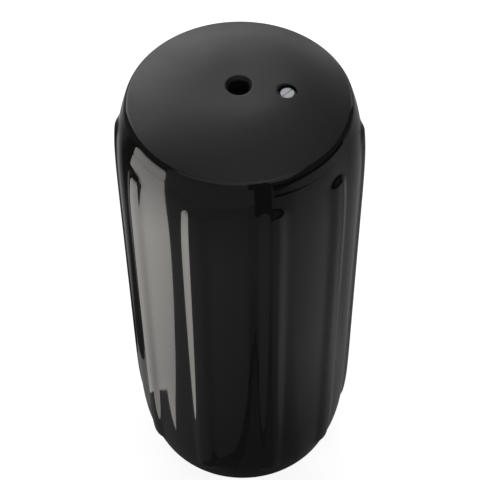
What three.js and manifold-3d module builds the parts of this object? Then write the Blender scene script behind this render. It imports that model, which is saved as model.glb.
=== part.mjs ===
// Ribbed inflatable boat fender with a rope passage through its middle and a screw valve in one end.
// Millimetres. The axis is +Z, the origin is on the axis and the fender stands with its lower end on z = 0.
import * as THREE from 'three';
import { mergeVertices } from 'three/addons/utils/BufferGeometryUtils.js';
import Module from 'manifold-3d';

const wasm = await Module();
wasm.setup();

// Overall shape of the moulded body. Both ends are alike, so sizes from an end hold for top and bottom.
const OVERALL_LENGTH = 512;
const BARREL_RADIUS = 108.8;
const PARTING_LINE_INSET = 6.8;
const PARTING_LINE_FROM_END = 32;
const BARREL_FULLNESS = 9.3;
const END_FACE_INSET = 7;
const END_RISE = 16.2;
const END_FLAT_RADIUS = 28;
const CORNER_FROM_END = 17.6;
const CORNER_DEPTH = 5;
const WALL = 4;

// Rope passage, moulded through the middle in one piece with the two ends
const ROPE_BORE_RADIUS = 9;
const ROPE_MOUTH_FLARE = 2.7;
const ROPE_MOUTH_DEPTH = 3.4;
const ROPE_TUBE_WALL = 4;

// Ribs along the side
const RIB_COUNT = 10;
const RIB_WIDTH = 24.4;
const RIB_HEIGHT = 3.2;
const RIB_FROM_END = 43.9;
const RIB_END_LENGTH = 10.1;
const RIB_FULLNESS = 3;
const RIB_FOOT_REACH = 1.3;
const FIRST_RIB_DEGREES = 15;

// Inflation valve, beside the rope hole in the upper end
const VALVE_X = 40.8;
const VALVE_Y = -6.8;
const SCREW_HEAD_RADIUS = 6;
const SCREW_HEAD_THICKNESS = 2.6;
const SCREW_HEAD_SINK = 3;
const SCREW_HEAD_ROUND = 0.5;
const SCREW_HEAD_ABOVE_RIM = 1.2;
const SCREW_SHANK_RADIUS = 4;
const SCREW_SHANK_LENGTH = 15;
const SCREW_TIP_BEVEL = 0.8;
const SLOT_WIDTH = 1.3;
const SLOT_DEPTH = 1.3;
const SLOT_DEGREES = 45;
const SEAL_THICKNESS = 1.2;
const VALVE_RIM_WALL = 1.6;
const VALVE_FLANGE_THICKNESS = 1.6;
const VALVE_NECK_WALL = 2;
const VALVE_TAIL_BELOW_BOSS = 1.2;
const RETAINING_RING_COUNT = 2;
const RETAINING_RING_THICKNESS = 1.4;
const BOSS_WALL = 3.5;

// Clearance left round every piece that sits in another, and under every face that rests on another
const FIT = 0.3;
const SEAT_GAP = 0.1;

// How finely curves are cut into flats
const BODY_SIDES = 60;
const CHAMBER_SIDES = 24;
const VALVE_SIDES = 28;
const DOME_STEPS = 4;
const CORNER_STEPS = 4;
const BARREL_STEPS = 6;
const RIB_STEPS_ACROSS = 8;
const RIB_END_STEPS = 3;
const RIB_MIDDLE_STEPS = 4;
const RIB_TIP_DEGREES = 20;
const RIB_SINK = 0.7;

// The parting line lies a little inside the barrel's full radius, and the end face a little inside that
const PARTING_LINE_RADIUS = BARREL_RADIUS - PARTING_LINE_INSET;
const END_FACE_RADIUS = PARTING_LINE_RADIUS - END_FACE_INSET;
const MIDDLE_Z = OVERALL_LENGTH / 2;
const PARTING_LINE_Z = OVERALL_LENGTH - PARTING_LINE_FROM_END;

// Outer radius of the bare barrel at a height, nearly straight at the middle and drawn in to each parting line
function barrelRadius(z) {
  const reach = Math.abs(z - MIDDLE_Z) / (PARTING_LINE_Z - MIDDLE_Z);
  return BARREL_RADIUS - PARTING_LINE_INSET * reach ** BARREL_FULLNESS;
}

// Height of the upper end at a radius: a flat ring round the rope hole, then a shallow dome to the corner
function endHeight(radius) {
  const reach = Math.max(0, radius - END_FLAT_RADIUS) / (END_FACE_RADIUS - END_FLAT_RADIUS);
  return OVERALL_LENGTH - END_RISE * reach ** 2;
}

// Points down the upper half of the body from the rim of the flat ring to the middle, moved inwards by a depth
function upperOutline(depth) {
  const points = [];
  for (let i = 0; i < DOME_STEPS; i += 1) {
    const radius = END_FLAT_RADIUS + (END_FACE_RADIUS - END_FLAT_RADIUS) * i / DOME_STEPS;
    points.push(new THREE.Vector2(radius, endHeight(radius) - depth));
  }
  const taper = BARREL_FULLNESS * PARTING_LINE_INSET / (PARTING_LINE_Z - MIDDLE_Z);
  const bandRadius = (z) => PARTING_LINE_RADIUS - taper * (z - PARTING_LINE_Z) - depth;
  const cornerZ = OVERALL_LENGTH - CORNER_FROM_END - depth;
  const corner = new THREE.QuadraticBezierCurve(
    new THREE.Vector2(END_FACE_RADIUS - depth, endHeight(END_FACE_RADIUS) - depth),
    new THREE.Vector2(bandRadius(cornerZ), cornerZ),
    new THREE.Vector2(bandRadius(cornerZ - CORNER_DEPTH), cornerZ - CORNER_DEPTH),
  );
  points.push(...corner.getPoints(CORNER_STEPS));
  for (let i = 0; i <= BARREL_STEPS; i += 1) {
    const z = PARTING_LINE_Z - (PARTING_LINE_Z - MIDDLE_Z) * (i / BARREL_STEPS) ** 2;
    points.push(new THREE.Vector2(barrelRadius(z) - depth, z));
  }
  return points;
}

// Full outline from the lower end up to the upper end, mirrored about the middle
function wholeOutline(depth) {
  const upper = upperOutline(depth);
  const lower = upper.slice(0, -1).map((point) => new THREE.Vector2(point.x, OVERALL_LENGTH - point.y));
  return [...lower, ...upper.reverse()];
}

// Turns a profile of radius and height about the Z axis
function turned(profile, sides) {
  return new THREE.LatheGeometry(profile, sides).rotateX(Math.PI / 2);
}

function toSolid(geometry) {
  const bare = geometry.clone();
  bare.deleteAttribute('normal');
  bare.deleteAttribute('uv');
  const joined = mergeVertices(bare, 1e-4);
  return new wasm.Manifold(new wasm.Mesh({
    numProp: 3,
    vertProperties: new Float32Array(joined.attributes.position.array),
    triVerts: new Uint32Array(joined.index.array),
  }));
}

function toMesh(solid, name, colour, roughness, metalness) {
  const data = solid.getMesh();
  const geometry = new THREE.BufferGeometry();
  geometry.setAttribute('position', new THREE.BufferAttribute(new Float32Array(data.vertProperties), 3));
  geometry.setIndex(new THREE.BufferAttribute(new Uint32Array(data.triVerts), 1));
  geometry.computeVertexNormals();
  const finish = new THREE.MeshStandardMaterial({ color: colour, roughness, metalness });
  const mesh = new THREE.Mesh(geometry, finish);
  mesh.name = name;
  return mesh;
}

// A plain round bar from one height up to another, standing at a place
function bar(radius, fromZ, toZ, x, y, sides) {
  const shape = new THREE.CylinderGeometry(radius, radius, toZ - fromZ, sides).rotateX(Math.PI / 2);
  return toSolid(shape.translate(x, y, (fromZ + toZ) / 2));
}

// Body of revolution with the rope passage through it and a flared mouth at each end
function makeBarrel() {
  const mouth = [
    new THREE.Vector2(ROPE_BORE_RADIUS + ROPE_MOUTH_FLARE, OVERALL_LENGTH),
    new THREE.Vector2(ROPE_BORE_RADIUS, OVERALL_LENGTH - ROPE_MOUTH_DEPTH),
  ];
  const lowerMouth = mouth.map((point) => new THREE.Vector2(point.x, OVERALL_LENGTH - point.y)).reverse();
  const profile = [...lowerMouth, ...wholeOutline(0), ...mouth, lowerMouth[0]];
  return toSolid(turned(profile, BODY_SIDES));
}

// Air chamber between the rope tube and the wall
function makeChamber() {
  const tubeRadius = ROPE_BORE_RADIUS + ROPE_TUBE_WALL;
  const start = new THREE.Vector2(tubeRadius, WALL);
  const end = new THREE.Vector2(tubeRadius, OVERALL_LENGTH - WALL);
  return toSolid(turned([start, ...wholeOutline(WALL), end, start], CHAMBER_SIDES));
}

// A row of the rib: its distance from the tip, and its width and depth in the rounded end, both from 0 to 1
function ribStation(rowFromTip) {
  if (rowFromTip <= RIB_END_STEPS) {
    const tip = THREE.MathUtils.degToRad(RIB_TIP_DEGREES);
    const angle = tip + (Math.PI / 2 - tip) * rowFromTip / RIB_END_STEPS;
    return { fromTip: RIB_END_LENGTH * (1 - Math.cos(angle)), width: Math.sin(angle), end: Math.cos(angle) };
  }
  const straight = MIDDLE_Z - RIB_FROM_END - RIB_END_LENGTH;
  const reach = (rowFromTip - RIB_END_STEPS) / RIB_MIDDLE_STEPS;
  return { fromTip: RIB_END_LENGTH + straight * reach ** 2, width: 1, end: 0 };
}

// Height of the rib over the barrel, a bell that falls away alike to both sides and to the end
function ribCrown(across, station) {
  const reach = RIB_FOOT_REACH * Math.hypot(across * station.width, station.end);
  return (RIB_HEIGHT + RIB_SINK) * Math.exp(-(reach ** RIB_FULLNESS)) - RIB_SINK;
}

// One rib, a box bent onto the barrel with a soft crown and rounded ends, its foot inside the wall
function makeRib(degrees) {
  const halfRows = RIB_END_STEPS + RIB_MIDDLE_STEPS;
  const shape = new THREE.BoxGeometry(2, 2, 2, RIB_STEPS_ACROSS, 2 * halfRows, 1);
  const position = shape.attributes.position;
  for (let i = 0; i < position.count; i += 1) {
    const across = Math.sin(position.getX(i) * Math.PI / 2);
    const along = position.getY(i);
    const station = ribStation(Math.round((1 - Math.abs(along)) * halfRows));
    const z = MIDDLE_Z + Math.sign(along) * (MIDDLE_Z - RIB_FROM_END - station.fromTip);
    const radius = barrelRadius(z) + (position.getZ(i) > 0 ? ribCrown(across, station) : -WALL / 2);
    const angle = across * station.width * RIB_WIDTH / 2 / BARREL_RADIUS;
    position.setXYZ(i, radius * Math.sin(angle), -radius * Math.cos(angle), z);
  }
  return toSolid(shape.rotateZ(THREE.MathUtils.degToRad(degrees)));
}

// Heights in the valve, all measured down from the plane of the upper end
const headTopZ = OVERALL_LENGTH - SCREW_HEAD_SINK;
const headUnderZ = headTopZ - SCREW_HEAD_THICKNESS;
const rimTopZ = headTopZ - SCREW_HEAD_ABOVE_RIM;
const sealTopZ = headUnderZ - SEAT_GAP;
const sealUnderZ = sealTopZ - SEAL_THICKNESS;
const seatZ = sealUnderZ - SEAT_GAP;
const flangeUnderZ = seatZ - VALVE_FLANGE_THICKNESS;
const shankTipZ = headUnderZ - SCREW_SHANK_LENGTH;
const valveTailZ = shankTipZ;
const bossUnderZ = valveTailZ + VALVE_TAIL_BELOW_BOSS;

const counterboreRadius = SCREW_HEAD_RADIUS + FIT;
const rimRadius = counterboreRadius + VALVE_RIM_WALL;
const threadBoreRadius = SCREW_SHANK_RADIUS + FIT;
const neckRadius = threadBoreRadius + VALVE_NECK_WALL;

// Outside of the valve body as a stack of round steps: the rim, the neck and the rings that hold it in the boss
function valveSteps() {
  const steps = [
    { radius: rimRadius, fromZ: flangeUnderZ, toZ: rimTopZ },
    { radius: neckRadius, fromZ: valveTailZ, toZ: flangeUnderZ },
  ];
  const pitch = (flangeUnderZ - bossUnderZ) / (RETAINING_RING_COUNT + 1);
  for (let i = 1; i <= RETAINING_RING_COUNT; i += 1) {
    const middle = flangeUnderZ - pitch * i;
    const half = RETAINING_RING_THICKNESS / 2;
    steps.push({ radius: rimRadius, fromZ: middle - half, toZ: middle + half });
  }
  return steps;
}

// The steps as one solid, made larger all round by an allowance
function valveStack(allowance) {
  const bars = valveSteps().map((step) => bar(
    step.radius + allowance,
    step.fromZ - allowance,
    step.toZ + allowance,
    VALVE_X,
    VALVE_Y,
    VALVE_SIDES,
  ));
  return bars.reduce((whole, piece) => whole.add(piece));
}

function makeBody() {
  let body = makeBarrel();
  for (let i = 0; i < RIB_COUNT; i += 1) {
    body = body.add(makeRib(FIRST_RIB_DEGREES + 360 * i / RIB_COUNT));
  }
  const bossRadius = rimRadius + FIT + BOSS_WALL;
  const bossTopZ = endHeight(Math.hypot(VALVE_X, VALVE_Y) + bossRadius) - WALL / 2;
  const boss = bar(bossRadius, bossUnderZ, bossTopZ, VALVE_X, VALVE_Y, VALVE_SIDES);
  const recess = bar(rimRadius + FIT, rimTopZ, OVERALL_LENGTH + WALL, VALVE_X, VALVE_Y, VALVE_SIDES);
  return body.subtract(makeChamber()).add(boss).subtract(valveStack(FIT)).subtract(recess);
}

function makeValveBody() {
  const counterbore = bar(counterboreRadius, seatZ, rimTopZ + WALL, VALVE_X, VALVE_Y, VALVE_SIDES);
  const bore = bar(threadBoreRadius, valveTailZ - WALL, seatZ + WALL, VALVE_X, VALVE_Y, VALVE_SIDES);
  return valveStack(0).subtract(counterbore).subtract(bore);
}

function makeSeal() {
  const ring = bar(SCREW_HEAD_RADIUS, sealUnderZ, sealTopZ, VALVE_X, VALVE_Y, VALVE_SIDES);
  const hole = bar(threadBoreRadius, sealUnderZ - WALL, sealTopZ + WALL, VALVE_X, VALVE_Y, VALVE_SIDES);
  return ring.subtract(hole);
}

// Slotted screw plug: round-edged head, straight slot, plain shank with a bevelled tip
function makeScrew() {
  const profile = [
    new THREE.Vector2(0, shankTipZ),
    new THREE.Vector2(SCREW_SHANK_RADIUS - SCREW_TIP_BEVEL, shankTipZ),
    new THREE.Vector2(SCREW_SHANK_RADIUS, shankTipZ + SCREW_TIP_BEVEL),
    new THREE.Vector2(SCREW_SHANK_RADIUS, headUnderZ),
    new THREE.Vector2(SCREW_HEAD_RADIUS, headUnderZ),
    new THREE.Vector2(SCREW_HEAD_RADIUS, headTopZ - SCREW_HEAD_ROUND),
    new THREE.Vector2(SCREW_HEAD_RADIUS - SCREW_HEAD_ROUND, headTopZ),
    new THREE.Vector2(0, headTopZ),
  ];
  const slot = new THREE.BoxGeometry(4 * SCREW_HEAD_RADIUS, SLOT_WIDTH, 2 * SLOT_DEPTH);
  slot.rotateZ(THREE.MathUtils.degToRad(SLOT_DEGREES)).translate(0, 0, headTopZ);
  const screw = toSolid(turned(profile, VALVE_SIDES)).subtract(toSolid(slot));
  return screw.translate([VALVE_X, VALVE_Y, 0]);
}

const fender = new THREE.Group();
fender.name = 'pneumatic_fender';
fender.add(toMesh(makeBody(), 'fender_body', 0x1a1b1c, 0.3, 0));
fender.add(toMesh(makeValveBody(), 'valve_body', 0x111213, 0.45, 0));
fender.add(toMesh(makeSeal(), 'valve_seal', 0x232323, 0.7, 0));
fender.add(toMesh(makeScrew(), 'valve_screw', 0xb9bab8, 0.4, 0));

export default fender;
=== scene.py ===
# %% [markdown]
# # A ribbed boat fender
# An inflatable fender is a hollow bladder of black vinyl that hangs between a boat and a quay. It is moulded
# in one piece: a barrel with ribs along it, two shallow domed ends, and a passage through the middle for the
# rope. An air valve with a slotted screw sits in one end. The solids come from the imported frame, so every
# piece made here already has its place: millimetres on the maker's drawing, metres in Blender.
# %% Load the frame
import math

import bmesh
import bpy
from mathutils import Matrix, Vector


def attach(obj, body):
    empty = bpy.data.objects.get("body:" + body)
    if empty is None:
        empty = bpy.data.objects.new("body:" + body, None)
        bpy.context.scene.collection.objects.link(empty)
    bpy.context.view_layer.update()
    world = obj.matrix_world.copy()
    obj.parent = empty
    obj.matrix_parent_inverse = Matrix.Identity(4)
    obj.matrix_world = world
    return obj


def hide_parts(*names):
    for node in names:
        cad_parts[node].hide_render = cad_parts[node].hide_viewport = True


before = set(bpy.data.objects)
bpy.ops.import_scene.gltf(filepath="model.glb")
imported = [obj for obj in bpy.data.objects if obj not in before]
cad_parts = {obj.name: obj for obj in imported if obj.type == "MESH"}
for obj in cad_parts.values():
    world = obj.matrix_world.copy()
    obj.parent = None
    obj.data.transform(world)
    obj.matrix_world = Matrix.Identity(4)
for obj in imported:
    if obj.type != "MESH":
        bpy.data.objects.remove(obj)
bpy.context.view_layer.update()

# %% [markdown]
# ## Small helpers
# A finished piece is a plain mesh whose object stands at the origin, so that textures on Object coordinates
# stay put when the piece moves with its body. One helper does that for every piece, and names the body it
# rides on and the solids it stands for.
# %% Finish a piece
MM = 0.001


def finish_piece(name, mesh, body, slot, *nodes):
    piece = bpy.data.objects.new(name, mesh)
    bpy.context.collection.objects.link(piece)
    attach(piece, body)
    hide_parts(*nodes)
    low, high = (tuple(round(v, 4) for v in piece.bound_box[corner]) for corner in (0, 6))
    print(name, "faces", len(mesh.polygons), "from", low, "to", high)


# %% [markdown]
# Modifiers and node trees are applied by asking Blender for the evaluated object and keeping its mesh. The
# working object is then thrown away, so nothing live is left on the piece. A cut leaves faces that know no
# finish, so one more helper coats a whole mesh.
# %% Apply what a working object carries
def working_object(name, mesh):
    made = bpy.data.objects.new(name, mesh)
    bpy.context.collection.objects.link(made)
    return made


def applied_mesh(work):
    graph = bpy.context.evaluated_depsgraph_get()
    mesh = bpy.data.meshes.new_from_object(work.evaluated_get(graph))
    work.modifiers.clear()
    bpy.data.objects.remove(work)
    return mesh


def coat_all(mesh, material):
    mesh.materials.clear()
    mesh.materials.append(material)
    mesh.polygons.foreach_set("material_index", [0] * len(mesh.polygons))


# %% [markdown]
# Node trees are easier to read as sums than as boxes and wires. These helpers add one node each: a value may
# be a number or the output of another node.
# %% Node helpers
def plug_in(tree, socket, value):
    if isinstance(value, bpy.types.NodeSocket):
        tree.links.new(value, socket)
    else:
        socket.default_value = value


def sums(tree, operation, *values):
    node = tree.nodes.new("ShaderNodeMath")
    node.operation = operation
    for socket, value in zip(node.inputs, values):
        plug_in(tree, socket, value)
    return node.outputs[0]


def whole_sums(tree, operation, first, second):
    node = tree.nodes.new("FunctionNodeIntegerMath")
    node.operation = operation
    plug_in(tree, node.inputs[0], first)
    plug_in(tree, node.inputs[1], second)
    return node.outputs[0]


def add_node(tree, kind, **inputs):
    node = tree.nodes.new(kind)
    for name, value in inputs.items():
        plug_in(tree, node.inputs[name.replace("_", " ")], value)
    return node


# %% [markdown]
# A geometry tree gets named inputs for its sizes. On the modifier an input is set by its identifier, because
# two inputs could share a name but never an identifier.
# %% Geometry tree helpers
SOCKET_KINDS = {float: "NodeSocketFloat", int: "NodeSocketInt"}


def new_geometry_tree(name, sizes, material):
    tree = bpy.data.node_groups.new(name, "GeometryNodeTree")
    tree.interface.new_socket("Geometry", in_out="INPUT", socket_type="NodeSocketGeometry")
    tree.interface.new_socket("Geometry", in_out="OUTPUT", socket_type="NodeSocketGeometry")
    for label, value in sizes.items():
        socket = tree.interface.new_socket(label, in_out="INPUT", socket_type=SOCKET_KINDS[type(value)])
        socket.default_value = value
    start = tree.nodes.new("NodeGroupInput")
    realize = tree.nodes.new("GeometryNodeRealizeInstances")
    coat = tree.nodes.new("GeometryNodeSetMaterial")
    coat.inputs["Material"].default_value = material
    end = tree.nodes.new("NodeGroupOutput")
    tree.links.new(realize.outputs[0], coat.inputs["Geometry"])
    tree.links.new(coat.outputs[0], end.inputs[0])
    return tree, start, realize


def run_tree(work, tree, sizes):
    modifier = work.modifiers.new(tree.name, "NODES")
    modifier.node_group = tree
    for item in tree.interface.items_tree:
        if item.in_out == "INPUT" and item.name in sizes:
            modifier[item.identifier] = sizes[item.name]
    return applied_mesh(work)


# %% [markdown]
# ## Finishes
# Each finish is a Principled shader whose colour, roughness and relief are moved a little by noise, because no
# moulded surface is quite even. The noise reads Object coordinates, which need no unwrapping. Its values crowd
# round a half, so a finish spreads the middle of them over the range that it wants.
# %% Finish helpers
NOISE_LOW, NOISE_HIGH = 0.3, 0.7


def new_material(name):
    material = bpy.data.materials.new(name)
    material.use_nodes = True
    tree = material.node_tree
    shader = tree.nodes["Principled BSDF"]
    place = tree.nodes.new("ShaderNodeTexCoord").outputs["Object"]
    return material, tree, shader, place


def noise(tree, place, scale, detail):
    node = add_node(tree, "ShaderNodeTexNoise", Vector=place, Scale=scale, Detail=detail)
    return node.outputs["Fac"]


def remap(tree, value, from_low, from_high, to_low, to_high):
    node = tree.nodes.new("ShaderNodeMapRange")
    for socket, given in zip(node.inputs, (value, from_low, from_high, to_low, to_high)):
        plug_in(tree, socket, given)
    return node.outputs["Result"]


def spread(tree, cloud, low, high):
    return remap(tree, cloud, NOISE_LOW, NOISE_HIGH, low, high)


def blend_colours(tree, share, first, second):
    node = tree.nodes.new("ShaderNodeMix")
    node.data_type = "RGBA"
    plug_in(tree, node.inputs[0], share)
    plug_in(tree, node.inputs[6], first)
    plug_in(tree, node.inputs[7], second)
    return node.outputs[2]


def bump(tree, shader, height, strength, distance):
    node = add_node(tree, "ShaderNodeBump", Height=height, Distance=distance)
    plug_in(tree, node.inputs["Strength"], strength)
    tree.links.new(node.outputs["Normal"], shader.inputs["Normal"])


# %% [markdown]
# ## Black vinyl
# The bladder is glossy black vinyl on its side. The two end faces come out of a finely etched part of the
# mould and are satin, and the change between them is a clean ring. Two materials would leave a ragged edge
# where they meet. One can hold both finishes: the distance from the axis, read from Object coordinates, tells
# the end face from the side. The crowns of the ribs rub on boats and quays, so they are scuffed a little.
# %% Black vinyl
END_FACE_RADIUS = 95 * MM
FACE_EDGE_BLUR = 0.5 * MM
CROWN_FOOT_RADIUS = 109.5 * MM
CROWN_TOP_RADIUS = 112 * MM
SIDE_ROUGHNESS = (0.03, 0.08)
FACE_ROUGHNESS = (0.40, 0.50)
SCUFF_ROUGHNESS = 0.12
SIDE_RELIEF, FACE_RELIEF = 0.03, 0.22
VINYL_RELIEF_DEPTH = 0.2 * MM
VINYL_COLOURS = ((0.0095, 0.0093, 0.0091, 1), (0.0135, 0.0132, 0.0128, 1))


def from_axis(tree, place):
    flat = tree.nodes.new("ShaderNodeVectorMath")
    flat.operation = "MULTIPLY"
    plug_in(tree, flat.inputs[0], place)
    flat.inputs[1].default_value = (1, 1, 0)
    reach = tree.nodes.new("ShaderNodeVectorMath")
    reach.operation = "LENGTH"
    tree.links.new(flat.outputs[0], reach.inputs[0])
    return reach.outputs["Value"]


def make_black_vinyl():
    material, tree, shader, place = new_material("black_vinyl")
    radius = from_axis(tree, place)
    end_face = remap(tree, radius, END_FACE_RADIUS + FACE_EDGE_BLUR, END_FACE_RADIUS - FACE_EDGE_BLUR, 0, 1)

    patches = noise(tree, place, 22, 3)
    scuffs = remap(tree, noise(tree, place, 160, 6), 0.62, 0.75, 0, SCUFF_ROUGHNESS)
    on_crowns = remap(tree, radius, CROWN_FOOT_RADIUS, CROWN_TOP_RADIUS, 0, 1)
    worn = sums(tree, "MULTIPLY", scuffs, on_crowns)
    side = sums(tree, "ADD", spread(tree, patches, *SIDE_ROUGHNESS), worn)
    face = spread(tree, patches, *FACE_ROUGHNESS)
    tree.links.new(remap(tree, end_face, 0, 1, side, face), shader.inputs["Roughness"])

    tree.links.new(blend_colours(tree, patches, *VINYL_COLOURS), shader.inputs["Base Color"])
    skin_relief, face_grain = noise(tree, place, 240, 2), noise(tree, place, 1600, 3)
    relief = remap(tree, end_face, 0, 1, skin_relief, face_grain)
    bump(tree, shader, relief, remap(tree, end_face, 0, 1, SIDE_RELIEF, FACE_RELIEF), VINYL_RELIEF_DEPTH)
    return material


black_vinyl = make_black_vinyl()
print("side roughness", SIDE_ROUGHNESS, "end face roughness", FACE_ROUGHNESS)

# %% [markdown]
# ## Plastics and rubber of the valve
# The valve body is satin black plastic, the seal dull rubber and the screw light grey plastic. They are small,
# so their noise is finer than the vinyl's. All three are made alike, so one function makes them: the two ends
# of the colour and of the roughness, and the scale and detail of the clouds and of the grain, tell them apart.
# The grey plastic also carries faint dark specks.
# %% Valve finishes
GRAIN_DEPTH = 0.05 * MM
SPECK_COLOUR = (0.42, 0.43, 0.45, 1)
SPECK_SHARE = 0.35


def speckled(tree, place, colour):
    specks = remap(tree, noise(tree, place, 2200, 3), 0.64, 0.78, 0, SPECK_SHARE)
    return blend_colours(tree, specks, colour, SPECK_COLOUR)


def valve_finish(name, colours, roughness, clouds, grain, relief, specks=False):
    material, tree, shader, place = new_material(name)
    cloud = noise(tree, place, *clouds)
    colour = blend_colours(tree, cloud, *colours)
    if specks:
        colour = speckled(tree, place, colour)
    tree.links.new(colour, shader.inputs["Base Color"])
    tree.links.new(spread(tree, cloud, *roughness), shader.inputs["Roughness"])
    bump(tree, shader, noise(tree, place, *grain), relief, GRAIN_DEPTH)
    return material


black_plastic = valve_finish(
    "black_plastic", colours=((0.007, 0.007, 0.008, 1), (0.014, 0.014, 0.015, 1)), roughness=(0.36, 0.5),
    clouds=(400, 4), grain=(2600, 3), relief=0.2)
seal_rubber = valve_finish(
    "seal_rubber", colours=((0.014, 0.014, 0.014, 1), (0.028, 0.028, 0.028, 1)), roughness=(0.6, 0.8),
    clouds=(700, 4), grain=(3500, 4), relief=0.4)
grey_plastic = valve_finish(
    "grey_plastic", colours=((0.68, 0.71, 0.75, 1), (0.78, 0.81, 0.85, 1)), roughness=(0.34, 0.48),
    clouds=(320, 5), grain=(1500, 3), relief=0.15, specks=True)
print("finishes", [made.name for made in (black_vinyl, black_plastic, seal_rubber, grey_plastic)])

# %% [markdown]
# ## Outline of the bladder
# Cut the fender along its axis and one half of the cut is a closed loop: round the rope hole's mouth, out over
# the flat ring and the shallow dome, round the corner, down the side and back up through the bore. The loop
# is worked out here from the maker's sizes, with more points where it bends. It stays a bare line of edges,
# which a later step sweeps round the axis.
# %% Sizes of the bladder
LENGTH = 512 * MM
BARREL_RADIUS = 108.8 * MM
PARTING_INSET = 6.8 * MM
PARTING_FROM_END = 32 * MM
BARREL_FULLNESS = 9.3
END_RISE = 16.2 * MM
END_FLAT_RADIUS = 28 * MM
CORNER_FROM_END = 17.6 * MM
CORNER_DEPTH = 5 * MM
BORE_RADIUS = 9 * MM
MOUTH_FLARE = 2.7 * MM
MOUTH_DEPTH = 3.4 * MM
MOUTH_EDGE = 0.35 * MM
RIB_FULL_FROM_END = 54 * MM
RIB_END_LENGTH = 7.8 * MM
MIDDLE = LENGTH / 2
PARTING_HEIGHT = LENGTH - PARTING_FROM_END
PARTING_RADIUS = BARREL_RADIUS - PARTING_INSET
SHOULDER_TAPER = BARREL_FULLNESS * PARTING_INSET / (PARTING_HEIGHT - MIDDLE)


def barrel_radius(z):
    reach = abs(z - MIDDLE) / (PARTING_HEIGHT - MIDDLE)
    return BARREL_RADIUS - PARTING_INSET * reach ** BARREL_FULLNESS


def shoulder_radius(z):
    return PARTING_RADIUS - SHOULDER_TAPER * (z - PARTING_HEIGHT)


def end_height(radius):
    reach = max(0.0, radius - END_FLAT_RADIUS) / (END_FACE_RADIUS - END_FLAT_RADIUS)
    return LENGTH - END_RISE * reach ** 2


print("radius at the middle", barrel_radius(MIDDLE), "at the parting line", PARTING_RADIUS)

# %% [markdown]
# The rope hole's mouth is a short cone with a broken edge, and the corner between end face and shoulder is
# round. Both bends are curves pulled towards one control point, so one helper draws them.
# %% Mouth and corner
def curve_points(start, pull, end, count):
    shares = [i / count for i in range(count + 1)]
    return [start * (1 - t) ** 2 + pull * 2 * t * (1 - t) + end * t ** 2 for t in shares]


def mouth_points():
    slope = math.atan2(MOUTH_DEPTH, MOUTH_FLARE)
    foot = Vector((BORE_RADIUS, LENGTH - MOUTH_DEPTH))
    edge = Vector((BORE_RADIUS + MOUTH_FLARE, LENGTH))
    points = [foot - Vector((0, 0.5 * MM))]
    points += [foot + Vector((MOUTH_FLARE * t, MOUTH_DEPTH * t)) for t in (0, 0.3, 0.6)]
    on_cone = edge - MOUTH_EDGE * Vector((math.cos(slope), math.sin(slope)))
    on_ring = edge + Vector((MOUTH_EDGE, 0))
    return points + curve_points(on_cone, edge, on_ring, 4)


def corner_points():
    top = LENGTH - CORNER_FROM_END
    foot = top - CORNER_DEPTH
    return curve_points(
        Vector((END_FACE_RADIUS, end_height(END_FACE_RADIUS))),
        Vector((shoulder_radius(top), top)),
        Vector((shoulder_radius(foot), foot)),
        12,
    )


# %% [markdown]
# The mould's parting line is a very low ridge a millimetre wide that runs all round the shoulder, where the two
# parts of the mould met. Below it the barrel begins, and the points crowd where the ribs run out, because the
# skin bends most there.
# %% Shoulder and barrel
PARTING_RIDGE_HEIGHT = 0.02 * MM
PARTING_RIDGE_WIDTH = 1.3 * MM
STEPS_TO_RIB_TIP = 6
STEPS_ALONG_RIB_END = 22
STEPS_TO_MIDDLE = 28
MIDDLE_CROWDING = 1.15


def shoulder_points():
    points = []
    half = PARTING_RIDGE_WIDTH / 2
    for i in range(1, 5):
        z = LENGTH - CORNER_FROM_END - CORNER_DEPTH
        z += (PARTING_HEIGHT + half - z) * i / 4
        points.append((shoulder_radius(z), z))
    for i in range(1, 9):
        across = i / 4 - 1
        z = PARTING_HEIGHT - across * half
        plain = barrel_radius(z) if z < PARTING_HEIGHT else shoulder_radius(z)
        points.append((plain + PARTING_RIDGE_HEIGHT * (1 - across ** 2), z))
    return points


def barrel_points(below_ridge):
    rib_full = LENGTH - RIB_FULL_FROM_END
    rib_tip = rib_full + 1.5 * RIB_END_LENGTH
    heights = []
    for i in range(1, STEPS_TO_RIB_TIP + 1):
        heights.append(below_ridge + (rib_tip - below_ridge) * i / STEPS_TO_RIB_TIP)
    for i in range(1, STEPS_ALONG_RIB_END + 1):
        heights.append(rib_tip + (rib_full - rib_tip) * i / STEPS_ALONG_RIB_END)
    for i in range(1, STEPS_TO_MIDDLE + 1):
        heights.append(rib_full + (MIDDLE - rib_full) * (i / STEPS_TO_MIDDLE) ** MIDDLE_CROWDING)
    return [(barrel_radius(z), z) for z in heights]


# %% [markdown]
# The lower half of the outline is the upper half turned over: the hidden end is made like the one that shows.
# A few points up the bore close the loop.
# %% Outline as a loop of edges
FLAT_RING_STOPS = (14 * MM, 18 * MM, 23 * MM)
DOME_STEPS = 20
BORE_STEPS = 8


def upper_outline():
    points = mouth_points() + [(radius, LENGTH) for radius in FLAT_RING_STOPS]
    for i in range(DOME_STEPS):
        radius = END_FLAT_RADIUS + (END_FACE_RADIUS - END_FLAT_RADIUS) * i / DOME_STEPS
        points.append((radius, end_height(radius)))
    points += corner_points()
    points += shoulder_points()
    return points + barrel_points(points[-1][1])


def outline_mesh():
    upper = upper_outline()
    lower = [(radius, LENGTH - z) for radius, z in reversed(upper[:-1])]
    top, bottom = upper[0][1], lower[-1][1]
    bore = [(BORE_RADIUS, bottom + (top - bottom) * i / BORE_STEPS) for i in range(1, BORE_STEPS)]
    loop = upper + lower + bore + [upper[0]]
    mesh = bpy.data.meshes.new("outline")
    edges = [(i, i + 1) for i in range(len(loop) - 1)]
    mesh.from_pydata([(radius, 0, z) for radius, z in loop], edges, [])
    return mesh, len(loop)


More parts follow.
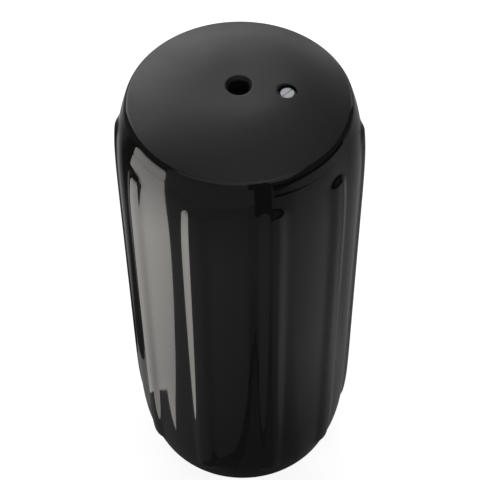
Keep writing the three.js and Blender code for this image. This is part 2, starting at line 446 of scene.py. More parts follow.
outline, outline_rows = outline_mesh()
print("outline points", outline_rows)

# %% [markdown]
# ## Ribbed skin
# The skin follows one rule all over, so Geometry Nodes make it. A grid is laid out with a row for each point
# of the outline and a fixed number of columns for each rib, and every grid point is turned round the axis.
# Ribs could be separate pieces joined on, but the real ones are swellings of the same skin, so here they lift
# the grid. These are the tree's named inputs.
# %% Sizes of the ribs
RIB_HALF_WIDTH = 9.4 * MM
rib_sizes = {
    "Rows": outline_rows,
    "Rib count": 10,
    "Columns per rib": 36,
    "First rib degrees": 15.0,
    "Rib half angle": RIB_HALF_WIDTH / BARREL_RADIUS,
    "Rib height": 3.2 * MM,
    "Rib full to": MIDDLE - RIB_FULL_FROM_END,
    "Rib end length": RIB_END_LENGTH,
    "Rib fullness": 3.0,
    "Waver": 0.25 * MM,
}
print("ribs", rib_sizes["Rib count"], "half angle", round(math.degrees(rib_sizes["Rib half angle"]), 2))

# %% [markdown]
# Even columns would spend most of their points on the plain wall between the ribs. Here three quarters of them
# lie across a rib and a margin beside it, where the surface bends, and the rest share the wall.
# %% Rib columns round the axis
COLUMN_SHARE_ON_RIB = 0.75
RIB_MARGIN = 1.5


def column_angle(tree, start, column):
    per_rib = start.outputs["Columns per rib"]
    turns = sums(tree, "DIVIDE", column, per_rib)
    rib_number = sums(tree, "FLOOR", turns)
    across = sums(tree, "SUBTRACT", sums(tree, "MULTIPLY", sums(tree, "FRACT", turns), 2.0), 1.0)
    side = sums(tree, "SIGN", across)
    reach = sums(tree, "ABSOLUTE", across)
    half_period = sums(tree, "DIVIDE", math.pi, start.outputs["Rib count"])
    near = sums(tree, "MULTIPLY", start.outputs["Rib half angle"], RIB_MARGIN)
    on_rib = remap(tree, reach, 0, COLUMN_SHARE_ON_RIB, 0, near)
    off_rib = remap(tree, reach, COLUMN_SHARE_ON_RIB, 1, 0, sums(tree, "SUBTRACT", half_period, near))
    from_rib = sums(tree, "ADD", on_rib, off_rib)
    signed = sums(tree, "MULTIPLY", side, from_rib)
    first = sums(tree, "RADIANS", start.outputs["First rib degrees"])
    rib_middle = sums(tree, "MULTIPLY_ADD", rib_number, sums(tree, "MULTIPLY", half_period, 2.0), first)
    return sums(tree, "ADD", rib_middle, signed), from_rib


# %% [markdown]
# A moulded rib has no edges: it is nearly flat on its crown and runs out softly at the foot and at both ends.
# One bell-shaped curve of the distance from the rib's middle line gives all of that. Past the point where the
# rib is full, the distance along it counts too, which rounds its ends.
# %% Height of the rib above the barrel
def rib_height(tree, start, from_rib, z):
    across = sums(tree, "DIVIDE", from_rib, start.outputs["Rib half angle"])
    from_middle = sums(tree, "ABSOLUTE", sums(tree, "SUBTRACT", z, MIDDLE))
    past_full = sums(tree, "MAXIMUM", sums(tree, "SUBTRACT", from_middle, start.outputs["Rib full to"]), 0.0)
    into_end = sums(tree, "DIVIDE", past_full, start.outputs["Rib end length"])
    across_squared = sums(tree, "MULTIPLY", across, across)
    end_squared = sums(tree, "MULTIPLY", into_end, into_end)
    squared = sums(tree, "ADD", across_squared, end_squared)
    half_fullness = sums(tree, "MULTIPLY", start.outputs["Rib fullness"], 0.5)
    steepness = sums(tree, "POWER", squared, half_fullness)
    bell = sums(tree, "EXPONENT", sums(tree, "MULTIPLY", steepness, -1.0))
    return sums(tree, "MULTIPLY", start.outputs["Rib height"], bell)


# %% [markdown]
# Inflated vinyl is never quite true, so a slow noise lets the wall waver by a fraction of a millimetre. It is
# read on the unit circle, so it has no seam where the grid closes. Ribs and waver fade out between two radii,
# and the end faces and the bore stay plain.
# %% Place of a point on the skin
SIDE_FROM_RADIUS = 97 * MM
SIDE_FULL_RADIUS = 101 * MM
WAVER_SCALE = 1.6
WAVER_ALONG = 4.0


def skin_place(tree, start, column, radius, z):
    angle, from_rib = column_angle(tree, start, column)
    on_side = remap(tree, radius, SIDE_FROM_RADIUS, SIDE_FULL_RADIUS, 0, 1)
    lift = sums(tree, "MULTIPLY", rib_height(tree, start, from_rib, z), on_side)
    turn_x, turn_y = sums(tree, "SINE", angle), sums(tree, "MULTIPLY", sums(tree, "COSINE", angle), -1.0)
    along = sums(tree, "MULTIPLY", z, WAVER_ALONG)
    spot = add_node(tree, "ShaderNodeCombineXYZ", X=turn_x, Y=turn_y, Z=along)
    slow = sums(tree, "SUBTRACT", noise(tree, spot.outputs[0], WAVER_SCALE, 1), 0.5)
    waver = sums(tree, "MULTIPLY", sums(tree, "MULTIPLY", slow, on_side), start.outputs["Waver"])
    out = sums(tree, "ADD", sums(tree, "ADD", radius, lift), waver)
    out_x, out_y = sums(tree, "MULTIPLY", out, turn_x), sums(tree, "MULTIPLY", out, turn_y)
    return add_node(tree, "ShaderNodeCombineXYZ", X=out_x, Y=out_y, Z=z).outputs[0]


# %% [markdown]
# The tree lays out the grid. Sample Index hands every grid point its radius and height on the outline, Set
# Position moves it, and Merge by Distance sews the first column to the last.
# %% The tree of the skin
SEAM_GAP = 0.002 * MM


def skin_tree():
    tree, start, realize = new_geometry_tree("ribbed_skin", rib_sizes, black_vinyl)
    rows = start.outputs["Rows"]
    columns = sums(tree, "MULTIPLY", start.outputs["Rib count"], start.outputs["Columns per rib"])
    grid = add_node(tree, "GeometryNodeMeshGrid", Size_X=1.0, Size_Y=1.0)
    tree.links.new(sums(tree, "ADD", columns, 1.0), grid.inputs["Vertices X"])
    tree.links.new(rows, grid.inputs["Vertices Y"])
    index = tree.nodes.new("GeometryNodeInputIndex").outputs[0]
    row = whole_sums(tree, "MODULO", index, rows)
    column = whole_sums(tree, "DIVIDE_FLOOR", index, rows)
    sample = tree.nodes.new("GeometryNodeSampleIndex")
    sample.data_type = "FLOAT_VECTOR"
    tree.links.new(start.outputs["Geometry"], sample.inputs["Geometry"])
    tree.links.new(tree.nodes.new("GeometryNodeInputPosition").outputs[0], sample.inputs["Value"])
    tree.links.new(row, sample.inputs["Index"])
    split = add_node(tree, "ShaderNodeSeparateXYZ", Vector=sample.outputs[0])
    place = skin_place(tree, start, column, split.outputs["X"], split.outputs["Z"])
    shape = add_node(tree, "GeometryNodeSetPosition", Geometry=grid.outputs["Mesh"], Position=place)
    sew = add_node(tree, "GeometryNodeMergeByDistance", Geometry=shape.outputs[0], Distance=SEAM_GAP)
    tree.links.new(sew.outputs[0], realize.inputs["Geometry"])
    return tree


skin = run_tree(working_object("skin", outline), skin_tree(), rib_sizes)
print("skin faces", len(skin.polygons))

# %% [markdown]
# ## Turned shapes
# The pocket and every piece of the valve are round, so each is a half section spun round its own axis. Spin
# repeats the points on the axis and closes on itself, so doubles are merged and normals worked out again.
# %% Turned shapes
VALVE_PLACE = Vector((40.8 * MM, -6.8 * MM, 0))
DOUBLES_GAP = 0.001 * MM


def turned_mesh(name, profile, sides, place):
    work = bmesh.new()
    line = [work.verts.new((radius, 0, z)) for radius, z in profile]
    for first, second in zip(line, line[1:]):
        work.edges.new((first, second))
    bmesh.ops.spin(work, geom=work.verts[:] + work.edges[:], axis=(0, 0, 1), cent=(0, 0, 0),
                   steps=sides, angle=2 * math.pi)
    bmesh.ops.remove_doubles(work, verts=work.verts, dist=DOUBLES_GAP)
    bmesh.ops.recalc_face_normals(work, faces=work.faces)
    bmesh.ops.translate(work, vec=place, verts=work.verts)
    mesh = bpy.data.meshes.new(name)
    work.to_mesh(mesh)
    work.free()
    return mesh


def rounded(radius, z, size, inwards, steps=4):
    """Quarter round on an outer top edge (inwards -1) or an outer bottom edge (inwards 1)."""
    centre_r, centre_z = radius - size, z + inwards * size
    points = []
    for i in range(steps + 1):
        turn = math.pi / 2 * i / steps
        points.append((centre_r + size * math.cos(turn), centre_z - inwards * size * math.sin(turn)))
    return points


# %% [markdown]
# ## Valve pocket
# The valve sits in a round pocket beside the rope hole. A pocket edge modelled in the grid would be ragged,
# so a turned cutter takes it out of the skin with a Boolean. The cutter flares at the top, which leaves the
# pocket the soft rounded lip that moulded vinyl has.
# %% Cut the pocket
POCKET_RADIUS = 8.2 * MM
POCKET_FLOOR = 490 * MM
POCKET_LIP = 0.4 * MM
LIP_TURN = math.radians(62)
LIP_STEPS = 5
CUTTER_FLARE_OUT, CUTTER_FLARE_UP = 1.2 * MM, 0.7 * MM
CUTTER_TOP = LENGTH + 2 * MM


def cut(mesh, cutter_mesh, name):
    work = working_object(name, mesh)
    tool = working_object(name + "_tool", cutter_mesh)
    knife = work.modifiers.new("cut", "BOOLEAN")
    knife.operation = "DIFFERENCE"
    knife.solver = "EXACT"
    knife.object = tool
    made = applied_mesh(work)
    bpy.data.objects.remove(tool)
    return made


def pocket_cutter():
    surface = end_height(VALVE_PLACE.length)
    profile = [(0, POCKET_FLOOR), (POCKET_RADIUS, POCKET_FLOOR)]
    for i in range(LIP_STEPS + 1):
        turn = LIP_TURN * i / LIP_STEPS
        out, down = POCKET_LIP * (1 - math.cos(turn)), POCKET_LIP * (1 - math.sin(turn))
        profile.append((POCKET_RADIUS + out, surface - down))
    lip_radius, lip_height = profile[-1]
    top_radius = lip_radius + CUTTER_FLARE_OUT
    profile += [(top_radius, lip_height + CUTTER_FLARE_UP), (top_radius, CUTTER_TOP), (0, CUTTER_TOP)]
    return turned_mesh("pocket_cutter", profile, 72, VALVE_PLACE)


body_mesh = cut(skin, pocket_cutter(), "skin_cut")
print("pocket cut, faces now", len(body_mesh.polygons))

# %% [markdown]
# The grid may have come out inside out, so its faces are turned outwards once it is a closed shell. Edges
# sharper than a set angle stay crisp, and everything else is shaded smooth.
# %% Finish the bladder
def clean_faces(mesh, crease_degrees):
    work = bmesh.new()
    work.from_mesh(mesh)
    bmesh.ops.recalc_face_normals(work, faces=work.faces)
    open_edges = sum(1 for edge in work.edges if len(edge.link_faces) != 2)
    for face in work.faces:
        face.smooth = True
    for edge in work.edges:
        if len(edge.link_faces) == 2 and edge.calc_face_angle() > math.radians(crease_degrees):
            edge.smooth = False
    inside_out = work.calc_volume(signed=True) < 0
    if inside_out:
        bmesh.ops.reverse_faces(work, faces=work.faces)
    work.to_mesh(mesh)
    work.free()
    print(mesh.name, "open edges", open_edges, "turned", inside_out)


clean_faces(body_mesh, 40)
coat_all(body_mesh, black_vinyl)
finish_piece("fender_skin", body_mesh, "fender", "black_vinyl", "fender_body")

# %% [markdown]
# ## Heights inside the valve
# The screw's head stands a little below the flat ring, and everything under it follows: the seal beneath the
# head, the seat beneath the seal, the flange, and the tip that screw and valve body share.
# %% Heights inside the valve
HEAD_TOP = LENGTH - 3 * MM
HEAD_UNDER = HEAD_TOP - 2.6 * MM
RIM_TOP = HEAD_TOP - 1.2 * MM
SEAL_TOP = HEAD_UNDER - 0.1 * MM
SEAL_UNDER = SEAL_TOP - 1.2 * MM
SEAT = SEAL_UNDER - 0.1 * MM
FLANGE_UNDER = SEAT - 1.6 * MM
TIP = HEAD_UNDER - 15 * MM
print("head top", round(HEAD_TOP, 4), "seat", round(SEAT, 4), "tip", round(TIP, 4))

# %% [markdown]
# ## Valve body
# The valve body is turned: a rim, a neck and two retaining rings outside, a counterbore and a bore inside. Its
# edges get small rounds, which catch the light as moulded edges do.
# %% Valve body
RIM_RADIUS = 7.9 * MM
RIM_ROUND = 0.4 * MM
NECK_RADIUS = 6.3 * MM
COUNTERBORE_RADIUS = 6.3 * MM
COUNTERBORE_EDGE = 0.3 * MM
THREAD_BORE_RADIUS = 4.3 * MM
TIP_PAST_BOSS = 1.2 * MM
RING_HALF = 0.7 * MM
RING_EDGE = 0.25 * MM


def retaining_ring(middle):
    under, over = middle - RING_HALF, middle + RING_HALF
    return [
        (NECK_RADIUS, under), (RIM_RADIUS - RING_EDGE, under), (RIM_RADIUS, under + RING_EDGE),
        (RIM_RADIUS, over - RING_EDGE), (RIM_RADIUS - RING_EDGE, over), (NECK_RADIUS, over),
    ]


def valve_body_profile():
    pitch = (FLANGE_UNDER - (TIP + TIP_PAST_BOSS)) / 3
    points = [(THREAD_BORE_RADIUS, TIP), (NECK_RADIUS, TIP)]
    points += retaining_ring(FLANGE_UNDER - 2 * pitch)
    points += retaining_ring(FLANGE_UNDER - pitch)
    points += [(NECK_RADIUS, FLANGE_UNDER), (RIM_RADIUS, FLANGE_UNDER)]
    points += rounded(RIM_RADIUS, RIM_TOP, RIM_ROUND, -1)
    points += [
        (COUNTERBORE_RADIUS + COUNTERBORE_EDGE, RIM_TOP),
        (COUNTERBORE_RADIUS + 0.08 * MM, RIM_TOP - 0.09 * MM),
        (COUNTERBORE_RADIUS, RIM_TOP - COUNTERBORE_EDGE), (COUNTERBORE_RADIUS, SEAT),
        (THREAD_BORE_RADIUS, SEAT), (THREAD_BORE_RADIUS, TIP),
    ]
    return points


valve_mesh = turned_mesh("valve_body_turned", valve_body_profile(), 96, VALVE_PLACE)
clean_faces(valve_mesh, 35)
coat_all(valve_mesh, black_plastic)
finish_piece("valve_housing", valve_mesh, "fender", "black_plastic", "valve_body")

# %% [markdown]
# ## Seal
# The rubber seal is a flat ring with rounded edges that lies under the screw's head, out of sight. It is
# turned as well, and rides with the screw as it lifts.
# %% Seal ring
SEAL_RADIUS = 6 * MM
SEAL_ROUND = 0.35 * MM


def seal_profile():
    inner, edge = THREAD_BORE_RADIUS, SEAL_ROUND
    points = rounded(SEAL_RADIUS, SEAL_UNDER, edge, 1)[::-1] + rounded(SEAL_RADIUS, SEAL_TOP, edge, -1)
    points += [(inner + edge, SEAL_TOP), (inner, SEAL_TOP - edge), (inner, SEAL_UNDER + edge),
               (inner + edge, SEAL_UNDER)]
    return points + [points[0]]


seal_mesh = turned_mesh("seal_turned", seal_profile(), 72, VALVE_PLACE)
clean_faces(seal_mesh, 60)
coat_all(seal_mesh, seal_rubber)
finish_piece("seal_ring", seal_mesh, "seal", "seal_rubber", "valve_seal")

# %% [markdown]
# ## Slotted screw
# The screw is a turned blank with a straight slot cut across its head. The blank has a bevelled tip and a small
# fillet under the head, as a moulded screw has.
# %% Screw blank
HEAD_RADIUS = 6 * MM
HEAD_ROUND = 0.5 * MM
HEAD_FOOT_EDGE = 0.2 * MM
CREST_RADIUS = 4 * MM
THREAD_DEPTH = 0.55 * MM
CORE_RADIUS = CREST_RADIUS - THREAD_DEPTH
TIP_BEVEL = 0.8 * MM
FILLET_HEIGHT, FILLET_REACH = 0.8 * MM, 0.5 * MM


def screw_blank():
    points = [
        (0, TIP), (CORE_RADIUS - TIP_BEVEL, TIP), (CORE_RADIUS, TIP + TIP_BEVEL),
        (CORE_RADIUS, HEAD_UNDER - FILLET_HEIGHT), (CORE_RADIUS + 0.3 * MM, HEAD_UNDER - 0.2 * MM),
        (CORE_RADIUS + FILLET_REACH, HEAD_UNDER), (HEAD_RADIUS - HEAD_FOOT_EDGE, HEAD_UNDER),
        (HEAD_RADIUS, HEAD_UNDER + HEAD_FOOT_EDGE),
    ]
    points += rounded(HEAD_RADIUS, HEAD_TOP, HEAD_ROUND, -1)
    points += [(HEAD_RADIUS * 0.5, HEAD_TOP), (0, HEAD_TOP)]
    return turned_mesh("screw_blank", points, 96, VALVE_PLACE)


# %% [markdown]
# The slot runs out at both sides of the head. Its cutter is a bar with a wider top, so the slot's edges are
# broken a little and show as fine light lines.
# %% Slot across the head
SLOT_WIDTH = 1.3 * MM
SLOT_DEPTH = 1.3 * MM
SLOT_EDGE = 0.12 * MM
SLOT_TURN = math.radians(45)


def slot_section():
    half, foot, top = SLOT_WIDTH / 2, HEAD_TOP - SLOT_DEPTH, HEAD_TOP + 1 * MM
    wide = half + SLOT_EDGE * 2
    return [
        (-half, foot), (half, foot), (half, HEAD_TOP - SLOT_EDGE), (wide, HEAD_TOP + SLOT_EDGE),
        (wide, top), (-wide, top), (-wide, HEAD_TOP + SLOT_EDGE), (-half, HEAD_TOP - SLOT_EDGE),
    ]


def slot_cutter():
    work = bmesh.new()
    section = slot_section()
    near, far = ([work.verts.new((x, y, z)) for y, z in section] for x in (-2 * HEAD_RADIUS, 2 * HEAD_RADIUS))
    for i in range(len(section)):
        j = (i + 1) % len(section)
        work.faces.new((near[i], near[j], far[j], far[i]))
    work.faces.new(near[::-1])
    work.faces.new(far)
    bmesh.ops.recalc_face_normals(work, faces=work.faces)
    placed = Matrix.Translation(VALVE_PLACE) @ Matrix.Rotation(SLOT_TURN, 4, "Z")
    bmesh.ops.transform(work, matrix=placed, verts=work.verts)
    mesh = bpy.data.meshes.new("slot_cutter")
    work.to_mesh(mesh)
    work.free()
    return mesh


slotted = cut(screw_blank(), slot_cutter(), "screw_cut")
print("slotted blank faces", len(slotted.polygons))

# %% [markdown]
# ## Screw thread
# A thread follows a path, so Geometry Nodes wind it: a spiral along the shank carries a small diamond section,
# whose outer half is the V of the thread. The section shrinks at both ends of the spiral, as a thread runs out.
# %% Thread tree
THREAD_RUN_OUT = 0.88
THREAD_END_SCALE = 0.15
thread_sizes = {
    "Turns": 7.6,
    "Points per turn": 40,
    "Pitch": 1.5 * MM,
    "Core radius": CORE_RADIUS,
    "Depth": THREAD_DEPTH,
    "Start height": TIP + 1.1 * MM,
}
SPIRAL_INPUTS = {
    "Resolution": "Points per turn",
    "Rotations": "Turns",
    "Start Radius": "Core radius",
    "End Radius": "Core radius",
}


def thread_tree():
    tree, start, realize = new_geometry_tree("screw_thread", thread_sizes, grey_plastic)
    height = sums(tree, "MULTIPLY", start.outputs["Turns"], start.outputs["Pitch"])
    spiral = add_node(tree, "GeometryNodeCurveSpiral", Height=height)
    for name, size in SPIRAL_INPUTS.items():
        tree.links.new(start.outputs[size], spiral.inputs[name])
    along = tree.nodes.new("GeometryNodeSplineParameter").outputs["Factor"]
    middle = sums(tree, "ABSOLUTE", sums(tree, "SUBTRACT", sums(tree, "MULTIPLY", along, 2.0), 1.0))
    shrink = remap(tree, middle, THREAD_RUN_OUT, 1, 1, THREAD_END_SCALE)
    upright = add_node(tree, "GeometryNodeSetCurveNormal", Curve=spiral.outputs[0])
    upright.mode = "Z_UP"
    section = add_node(tree, "GeometryNodeCurvePrimitiveCircle", Resolution=4, Radius=start.outputs["Depth"])
    sweep = add_node(tree, "GeometryNodeCurveToMesh", Curve=upright.outputs[0], Scale=shrink, Fill_Caps=True)
    tree.links.new(section.outputs[0], sweep.inputs["Profile Curve"])
    foot = start.outputs["Start height"]
    spot = add_node(tree, "ShaderNodeCombineXYZ", X=VALVE_PLACE.x, Y=VALVE_PLACE.y, Z=foot)
    move = add_node(tree, "GeometryNodeTransform", Geometry=sweep.outputs[0], Translation=spot.outputs[0])
    join = tree.nodes.new("GeometryNodeJoinGeometry")
    tree.links.new(move.outputs[0], join.inputs[0])
    tree.links.new(start.outputs["Geometry"], join.inputs[0])
    tree.links.new(join.outputs[0], realize.inputs["Geometry"])
    return tree


screw_mesh = run_tree(working_object("screw", slotted), thread_tree(), thread_sizes)
clean_faces(screw_mesh, 30)
coat_all(screw_mesh, grey_plastic)
finish_piece("slotted_screw", screw_mesh, "screw", "grey_plastic", "valve_screw")

# %% [markdown]
# ## Floor and surroundings
# The object stands on a pale floor. The camera sees floor and surroundings as white through Light
# Path's Is Camera Ray, while the floor itself is matt paint that takes the object's soft shadow and also
# carries painted light and shade. There is no metal or glass here: the black sides of the real fender mirror a
# dim room, so glossy rays get the floor's painted grey with its painted light and shade. Floor, cards and flags
# are all single flat polygons, so one helper makes them.
# %% Sheets of the setting
def flat_sheet(name, corners, material):
    mesh = bpy.data.meshes.new(name)
    mesh.from_pydata(corners, [], [tuple(range(len(corners)))])
    mesh.materials.append(material)
    sheet = bpy.data.objects.new(name, mesh)
    bpy.context.collection.objects.link(sheet)
    return sheet


def bare_material(name):
    material = bpy.data.materials.new(name)
    material.use_nodes = True
    tree = material.node_tree
    tree.nodes.remove(tree.nodes["Principled BSDF"])
    return material, tree, tree.nodes["Material Output"].inputs["Surface"]


def right_and_back(tree):
    place = tree.nodes.new("ShaderNodeTexCoord").outputs["Object"]
    spot = add_node(tree, "ShaderNodeSeparateXYZ", Vector=place)
    return spot.outputs["X"], spot.outputs["Y"]


def bearing_fade(tree, bearing, from_degrees, to_degrees, low, high):
    return remap(tree, bearing, math.radians(from_degrees), math.radians(to_degrees), low, high)


# %% [markdown]
# The paint carries painted light and shade, which stand in for how the light falls on the floor round the
# fender: it is a little paler in front on the right and darker behind on the right and near the foot, and a
# narrow painted shadow runs out from the foot in front. The camera never sees that, only the fender does.
# Places on the floor are told by their bearing, in degrees from the right towards the back, and their distance
# from the axis in metres.
# %% Painted light and shade on the floor
FLOOR_GREY = 0.5
FRONT_TO_RIGHT = (-52, -42)
RIGHT_TO_BACK = (-3, 18)
SHADE_END = (-69, -64)


# Painted shadow: a narrow darker wedge in front of the foot, painted into the floor's grey.
def painted_shadow_in_front(tree, bearing, far):
    edge = remap(tree, far, 0.13, 0.22, math.radians(-97), math.radians(-86))
    into_shade = bearing_fade(tree, sums(tree, "SUBTRACT", bearing, edge), 0, 3, 0, 1)
    out_of_shade = bearing_fade(tree, bearing, *SHADE_END, 1, 0)
    growing = remap(tree, far, 0.12, 0.28, 0.15, 0.45)
    thinning = remap(tree, far, 0.28, 0.42, 1, 0.35)
    depth = sums(tree, "MULTIPLY", growing, thinning)
    return sums(tree, "MULTIPLY", sums(tree, "MULTIPLY", into_shade, out_of_shade), depth)


# Painted light and shade: paler in front on the right, darker behind on the right and near the foot, less the
# painted shadow.
def painted_floor_shading(tree):
    out_right, out_back = right_and_back(tree)
    bearing = sums(tree, "ARCTAN2", out_back, out_right)
    squares = sums(tree, "MULTIPLY_ADD", out_right, out_right, sums(tree, "MULTIPLY", out_back, out_back))
    far = sums(tree, "SQRT", squares)
    pale_level = remap(tree, far, 0.4, 0.9, 1.38, 1.6)
    paler = bearing_fade(tree, bearing, *FRONT_TO_RIGHT, 1, pale_level)
    near_foot = remap(tree, far, 0.16, 0.26, 0.62, 1)
    behind = bearing_fade(tree, bearing, 25, 60, 0.46, 0.62)
    darker = bearing_fade(tree, bearing, *RIGHT_TO_BACK, near_foot, behind)
    in_front = remap(tree, far, 0.12, 0.40, 0.52, 1)
    beside = bearing_fade(tree, bearing, *FRONT_TO_RIGHT, in_front, darker)
    open_floor = sums(tree, "MULTIPLY", sums(tree, "MULTIPLY", paler, beside), FLOOR_GREY)
    lit_share = sums(tree, "SUBTRACT", 1.0, painted_shadow_in_front(tree, bearing, far))
    return sums(tree, "MULTIPLY", open_floor, lit_share)


# %% [markdown]
# The paint and a glow that only the camera sees are added together. The glow stays a little under white, so
# that the light which falls on the paint brings it to white and a shadow still shows.
# %% Floor
FLOOR_REACH = 6.0
FLOOR_DROP = 0.2 * MM
CAMERA_GLOW = 0.9


def make_floor_paint():
    material, tree, surface = bare_material("floor_paint")
    paint = add_node(tree, "ShaderNodeBsdfDiffuse", Color=painted_floor_shading(tree))
    rays = tree.nodes.new("ShaderNodeLightPath")
    to_camera = sums(tree, "MULTIPLY", rays.outputs["Is Camera Ray"], CAMERA_GLOW)
    glow = add_node(tree, "ShaderNodeEmission", Strength=to_camera)
    both = tree.nodes.new("ShaderNodeAddShader")
    tree.links.new(paint.outputs[0], both.inputs[0])
    tree.links.new(glow.outputs[0], both.inputs[1])
    tree.links.new(both.outputs[0], surface)
    return material


floor_sides = ((-1, -1), (1, -1), (1, 1), (-1, 1))
floor_corners = [(x * FLOOR_REACH, y * FLOOR_REACH, -FLOOR_DROP) for x, y in floor_sides]
flat_sheet("floor", floor_corners, make_floor_paint())
print("floor reaches", FLOOR_REACH, "m each way")

# %% [markdown]
# The world is a dim even grey for everything but the camera, which sees white.
# %% World
WHITE = (1, 1, 1, 1)
AMBIENT = 0.07


def make_world():
    world = bpy.data.worlds.new("studio")
    world.use_nodes = True
    tree = world.node_tree
    dim = tree.nodes["Background"]
    dim.inputs["Color"].default_value = WHITE
    dim.inputs["Strength"].default_value = AMBIENT
    white = add_node(tree, "ShaderNodeBackground", Color=WHITE, Strength=1.0)
    rays = tree.nodes.new("ShaderNodeLightPath")
    choose = tree.nodes.new("ShaderNodeMixShader")
    tree.links.new(rays.outputs["Is Camera Ray"], choose.inputs[0])
    tree.links.new(dim.outputs[0], choose.inputs[1])
    tree.links.new(white.outputs[0], choose.inputs[2])
    tree.links.new(choose.outputs[0], tree.nodes["World Output"].inputs["Surface"])
    bpy.context.scene.world = world


make_world()
print("world", bpy.context.scene.world.name, "level", AMBIENT)

# %% [markdown]
# ## Lights
# Black gloss shows what stands round it, so the lights are placed by what the photograph's reflections show. A
# big soft light behind and to the left gives the satin end its sheen, and a smaller, dimmer one behind on the
# right evens it out. Two broad dim ones, overhead and in front, fill.
# %% Soft lights
def softbox(name, place, aim_height, width, height, radiance):
    lamp = bpy.data.lights.new(name, "AREA")
    lamp.shape = "RECTANGLE"
    lamp.size = width
    lamp.size_y = height
    lamp.energy = radiance * math.pi * width * height
    box = bpy.data.objects.new(name, lamp)
    bpy.context.collection.objects.link(box)
    box.location = place
    aim = Vector((0, 0, aim_height))
    box.rotation_euler = (aim - Vector(place)).to_track_quat("-Z", "Y").to_euler()
    box.visible_camera = False
    print(name, "watts", round(lamp.energy, 1))


softbox("back_left_light", (-0.75, 1.45, 1.35), aim_height=0.5, width=2.2, height=1.9, radiance=1.54)
softbox("back_right_light", (1.1, 1.5, 0.75), aim_height=0.5, width=1.2, height=1.0, radiance=0.55)
softbox("overhead_light", (0.3, 0.4, 2.4), aim_height=0.4, width=2.4, height=2.4, radiance=0.35)
softbox("front_light", (0, -1.25, 2.0), aim_height=0.5, width=3.6, height=1.8, radiance=0.4)

# %% [markdown]
# ## Cards and flags
# A glossy black side is a curved mirror: what shows its form is the reflection of what lies beside it. Lamps
# alone can't draw those shapes without lighting the floor too. A sheet that only mirrored rays can see can, and
# so paints a reflection: a pale one, a card, glows though it is no lamp and paints a light shape, and a dark
# one, a flag, paints a dark shape.
# %% Glowing sheets
def make_glow(name, level=0.0):
    material, tree, surface = bare_material(name)
    glow = add_node(tree, "ShaderNodeEmission", Strength=level)
    tree.links.new(glow.outputs[0], surface)
    return material, tree, glow


def left_and_back(tree):
    out_right, out_back = right_and_back(tree)
    out_left = sums(tree, "MULTIPLY", out_right, -1.0)
    bearing = sums(tree, "ARCTAN2", out_back, out_left)
    return out_left, out_back, bearing


def laid_flat(outline_xy, height):
    return [(x, y, height) for x, y in outline_xy]


def mirrored_sheet(name, corners, material):
    sheet = flat_sheet(name, corners, material)
    sheet.visible_camera = False
    sheet.visible_shadow = False
    sheet.visible_diffuse = False
    print(name, "corners", len(corners))


# %% [markdown]
# The pale card lies low on the left and glows: it paints the reflection of the long bright band down the
# left side, with its sharp right-hand edge. The notches in its near edge paint the band's prongs. It glows more
# as it leaves the foot and less far out and towards the back, and only its upper side glows.
# %% Card on the left
CARD_HEIGHT = 2 * MM
CARD_COLOUR = (1, 0.975, 0.93, 1)
CARD_OUTLINE = [
    (-0.190, 0.037), (-0.235, 0.10), (-0.40, 0.205), (-0.90, 0.195), (-2.6, 0.10), (-2.6, -1.21),
    (-1.116, -0.536), (-0.167, -0.101), (-0.122, -0.086), (-0.180, -0.073), (-0.177, -0.040), (-0.160, -0.008),
]


def make_card_glow():
    material, tree, glow = make_glow("card_glow")
    glow.inputs["Color"].default_value = CARD_COLOUR
    out_left, _, bearing = left_and_back(tree)
    fading = bearing_fade(tree, bearing, -24, 35, 1, 0.3)
    rising = remap(tree, out_left, 0.2, 0.42, 1.35, 2.6)
    falling = remap(tree, out_left, 1.0, 2.4, 1, 0.35)
    upper_side = sums(tree, "SUBTRACT", 1.0, tree.nodes.new("ShaderNodeNewGeometry").outputs["Backfacing"])
    outwards = sums(tree, "MULTIPLY", rising, falling)
    level = sums(tree, "MULTIPLY", outwards, sums(tree, "MULTIPLY", fading, upper_side))
    tree.links.new(level, glow.inputs["Strength"])
    return material


mirrored_sheet("card", laid_flat(CARD_OUTLINE, CARD_HEIGHT), make_card_glow())

# %% [markdown]
# A dim glowing wall stands in front on the left and paints a reflection: it keeps the rounded corner of the
# fender as light as its front, where the corner would otherwise mirror the dark end of the room. The far rim
# of the end face leans away and mirrors the horizon behind, so a low bright glowing strip stands there and
# paints a highlight along that rim.
# %% Wall in front and strip behind
WALL_LEVEL, WALL_TOP = 0.21, 1.3
WALL_ENDS = ((-1.10, -0.59), (0.25, -1.25))
STRIP_LEVEL, STRIP_FOOT, STRIP_TOP = 2.0, 0.46, 0.82
STRIP_ENDS = ((-0.9, 1.9), (1.0, 1.9))

wall_corners = [(*WALL_ENDS[0], 0), (*WALL_ENDS[1], 0), (*WALL_ENDS[1], WALL_TOP), (*WALL_ENDS[0], WALL_TOP)]
mirrored_sheet("wall", wall_corners, make_glow("wall_glow", WALL_LEVEL)[0])

strip_corners = [
    (*STRIP_ENDS[0], STRIP_FOOT), (*STRIP_ENDS[0], STRIP_TOP),
    (*STRIP_ENDS[1], STRIP_TOP), (*STRIP_ENDS[1], STRIP_FOOT),
]
mirrored_sheet("strip", strip_corners, make_glow("strip_glow", STRIP_LEVEL)[0])

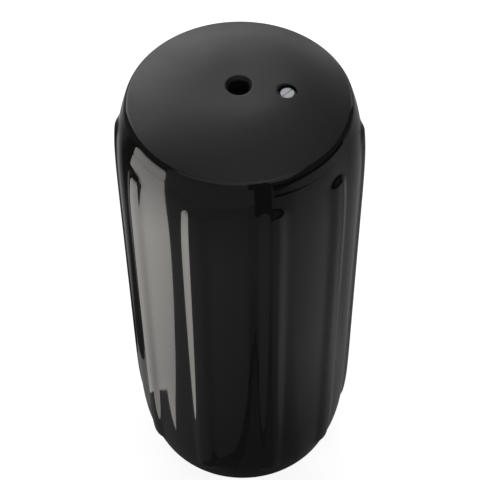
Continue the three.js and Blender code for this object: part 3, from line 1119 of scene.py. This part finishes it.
# %% [markdown]
# Two flags paint dark reflections. One lies behind on the left and keeps the far edge of the side dark, and one
# lies far out on the right. The left one glows dimly and lightens towards the back, a painted reflection of
# the room in the mirror; the right one is a nearly black sheet that only the mirror sees.
# %% Flags on the floor
FLAG_HEIGHT = 1 * MM
PAINTED_DARK_COLOUR = (0.02, 0.02, 0.02, 1)
FLOOR_FLAG_OUTLINE = [
    (-0.06, 0.30), (-0.140, 0.105), (-0.150, 0.072), (-0.168, 0.045), (-0.190, 0.037), (-0.235, 0.10),
    (-0.40, 0.205), (-0.90, 0.195), (-3.6, 0.09), (-3.6, 3.6), (-0.06, 3.6),
]
FAR_FLAG_OUTLINE = [
    (0.68, -1.34), (1.0, -1.10), (1.25, -0.67), (1.28, -0.23), (1.18, 0.20), (5.5, 0.9), (5.5, -5.5),
    (2.8, -5.5),
]


# Painted dark reflection: a nearly black matt sheet that only mirrored rays see.
def make_painted_dark_sheet():
    material, tree, surface = bare_material("painted_dark_flag")
    cloth = add_node(tree, "ShaderNodeBsdfDiffuse", Color=PAINTED_DARK_COLOUR)
    tree.links.new(cloth.outputs[0], surface)
    return material


# Painted reflection: a dim glow that lightens towards the back.
def make_shade_glow():
    material, tree, glow = make_glow("shade_glow")
    _, out_back, bearing = left_and_back(tree)
    turning = bearing_fade(tree, bearing, 34, 72, 0.02, 0.42)
    set_back = remap(tree, out_back, 0.33, 0.41, 0, 0.05)
    tree.links.new(sums(tree, "ADD", turning, set_back), glow.inputs["Strength"])
    return material


mirrored_sheet("floor_flag", laid_flat(FLOOR_FLAG_OUTLINE, FLAG_HEIGHT), make_shade_glow())
mirrored_sheet("far_flag", laid_flat(FAR_FLAG_OUTLINE, FLAG_HEIGHT), make_painted_dark_sheet())

# %% [markdown]
# Two narrow flags paint dark lines into the reflection on the front. One stands a little to the right and
# paints the dark wedge on the shoulder. The other is a hook-shaped strip on the floor, and paints the thin dark
# line that curls at the foot. Neither is quite black in the mirror, so both have a very dim glow.
# %% Narrow flags in front
DIM_LEVEL = 0.04
STANDING_FLAG_CORNERS = [
    (0.147, -0.79, 0), (0.345, -0.76, 0), (0.345, -0.76, 1.2), (0.086, -0.79, 1.2), (0.086, -0.79, 0.37),
    (0.147, -0.79, 0.37),
]
HOOK_OUTLINE = [
    (0.066, -0.350), (0.058, -0.337), (0.042, -0.305), (0.031, -0.278), (0.021, -0.254), (0.014, -0.228),
    (0.002, -0.202), (-0.008, -0.175), (-0.018, -0.158), (-0.036, -0.138), (-0.066, -0.115), (-0.066, -0.095),
    (-0.012, -0.118), (-0.003, -0.141), (0.003, -0.160), (0.008, -0.175), (0.017, -0.200), (0.026, -0.226),
    (0.031, -0.251), (0.039, -0.278), (0.049, -0.304), (0.063, -0.335),
]

dim_glow = make_glow("dim_glow", DIM_LEVEL)[0]
mirrored_sheet("standing_flag", STANDING_FLAG_CORNERS, dim_glow)
mirrored_sheet("hook_flag", laid_flat(HOOK_OUTLINE, FLAG_HEIGHT), dim_glow)

# %% [markdown]
# ## Camera
# The camera's height, distance and lens come from fitting a pinhole camera to the photograph: the outline, the
# ring of the end face and the parting line. It looks down at about 51 degrees and leans by less than one.
# %% Camera
CAMERA_PLACE = (-0.8 * MM, -873.0 * MM, 1396.6 * MM)
LOOK_DOWN = 51.411
LEAN = -0.799
SENSOR_WIDTH = 36
LENS_LENGTH = 109.9

lens = bpy.data.cameras.new("camera")
lens.sensor_width = SENSOR_WIDTH
lens.lens = LENS_LENGTH
camera = bpy.data.objects.new("camera", lens)
bpy.context.collection.objects.link(camera)
camera.rotation_mode = "QUATERNION"
camera.location = CAMERA_PLACE
tilt = Matrix.Rotation(math.radians(90 - LOOK_DOWN), 3, "X")
roll = Matrix.Rotation(math.radians(LEAN), 3, "Z")
camera.rotation_quaternion = (tilt @ roll).to_quaternion()
bpy.context.scene.camera = camera
bpy.context.scene.view_settings.view_transform = "Standard"
print("camera at", CAMERA_PLACE, "lens", LENS_LENGTH)
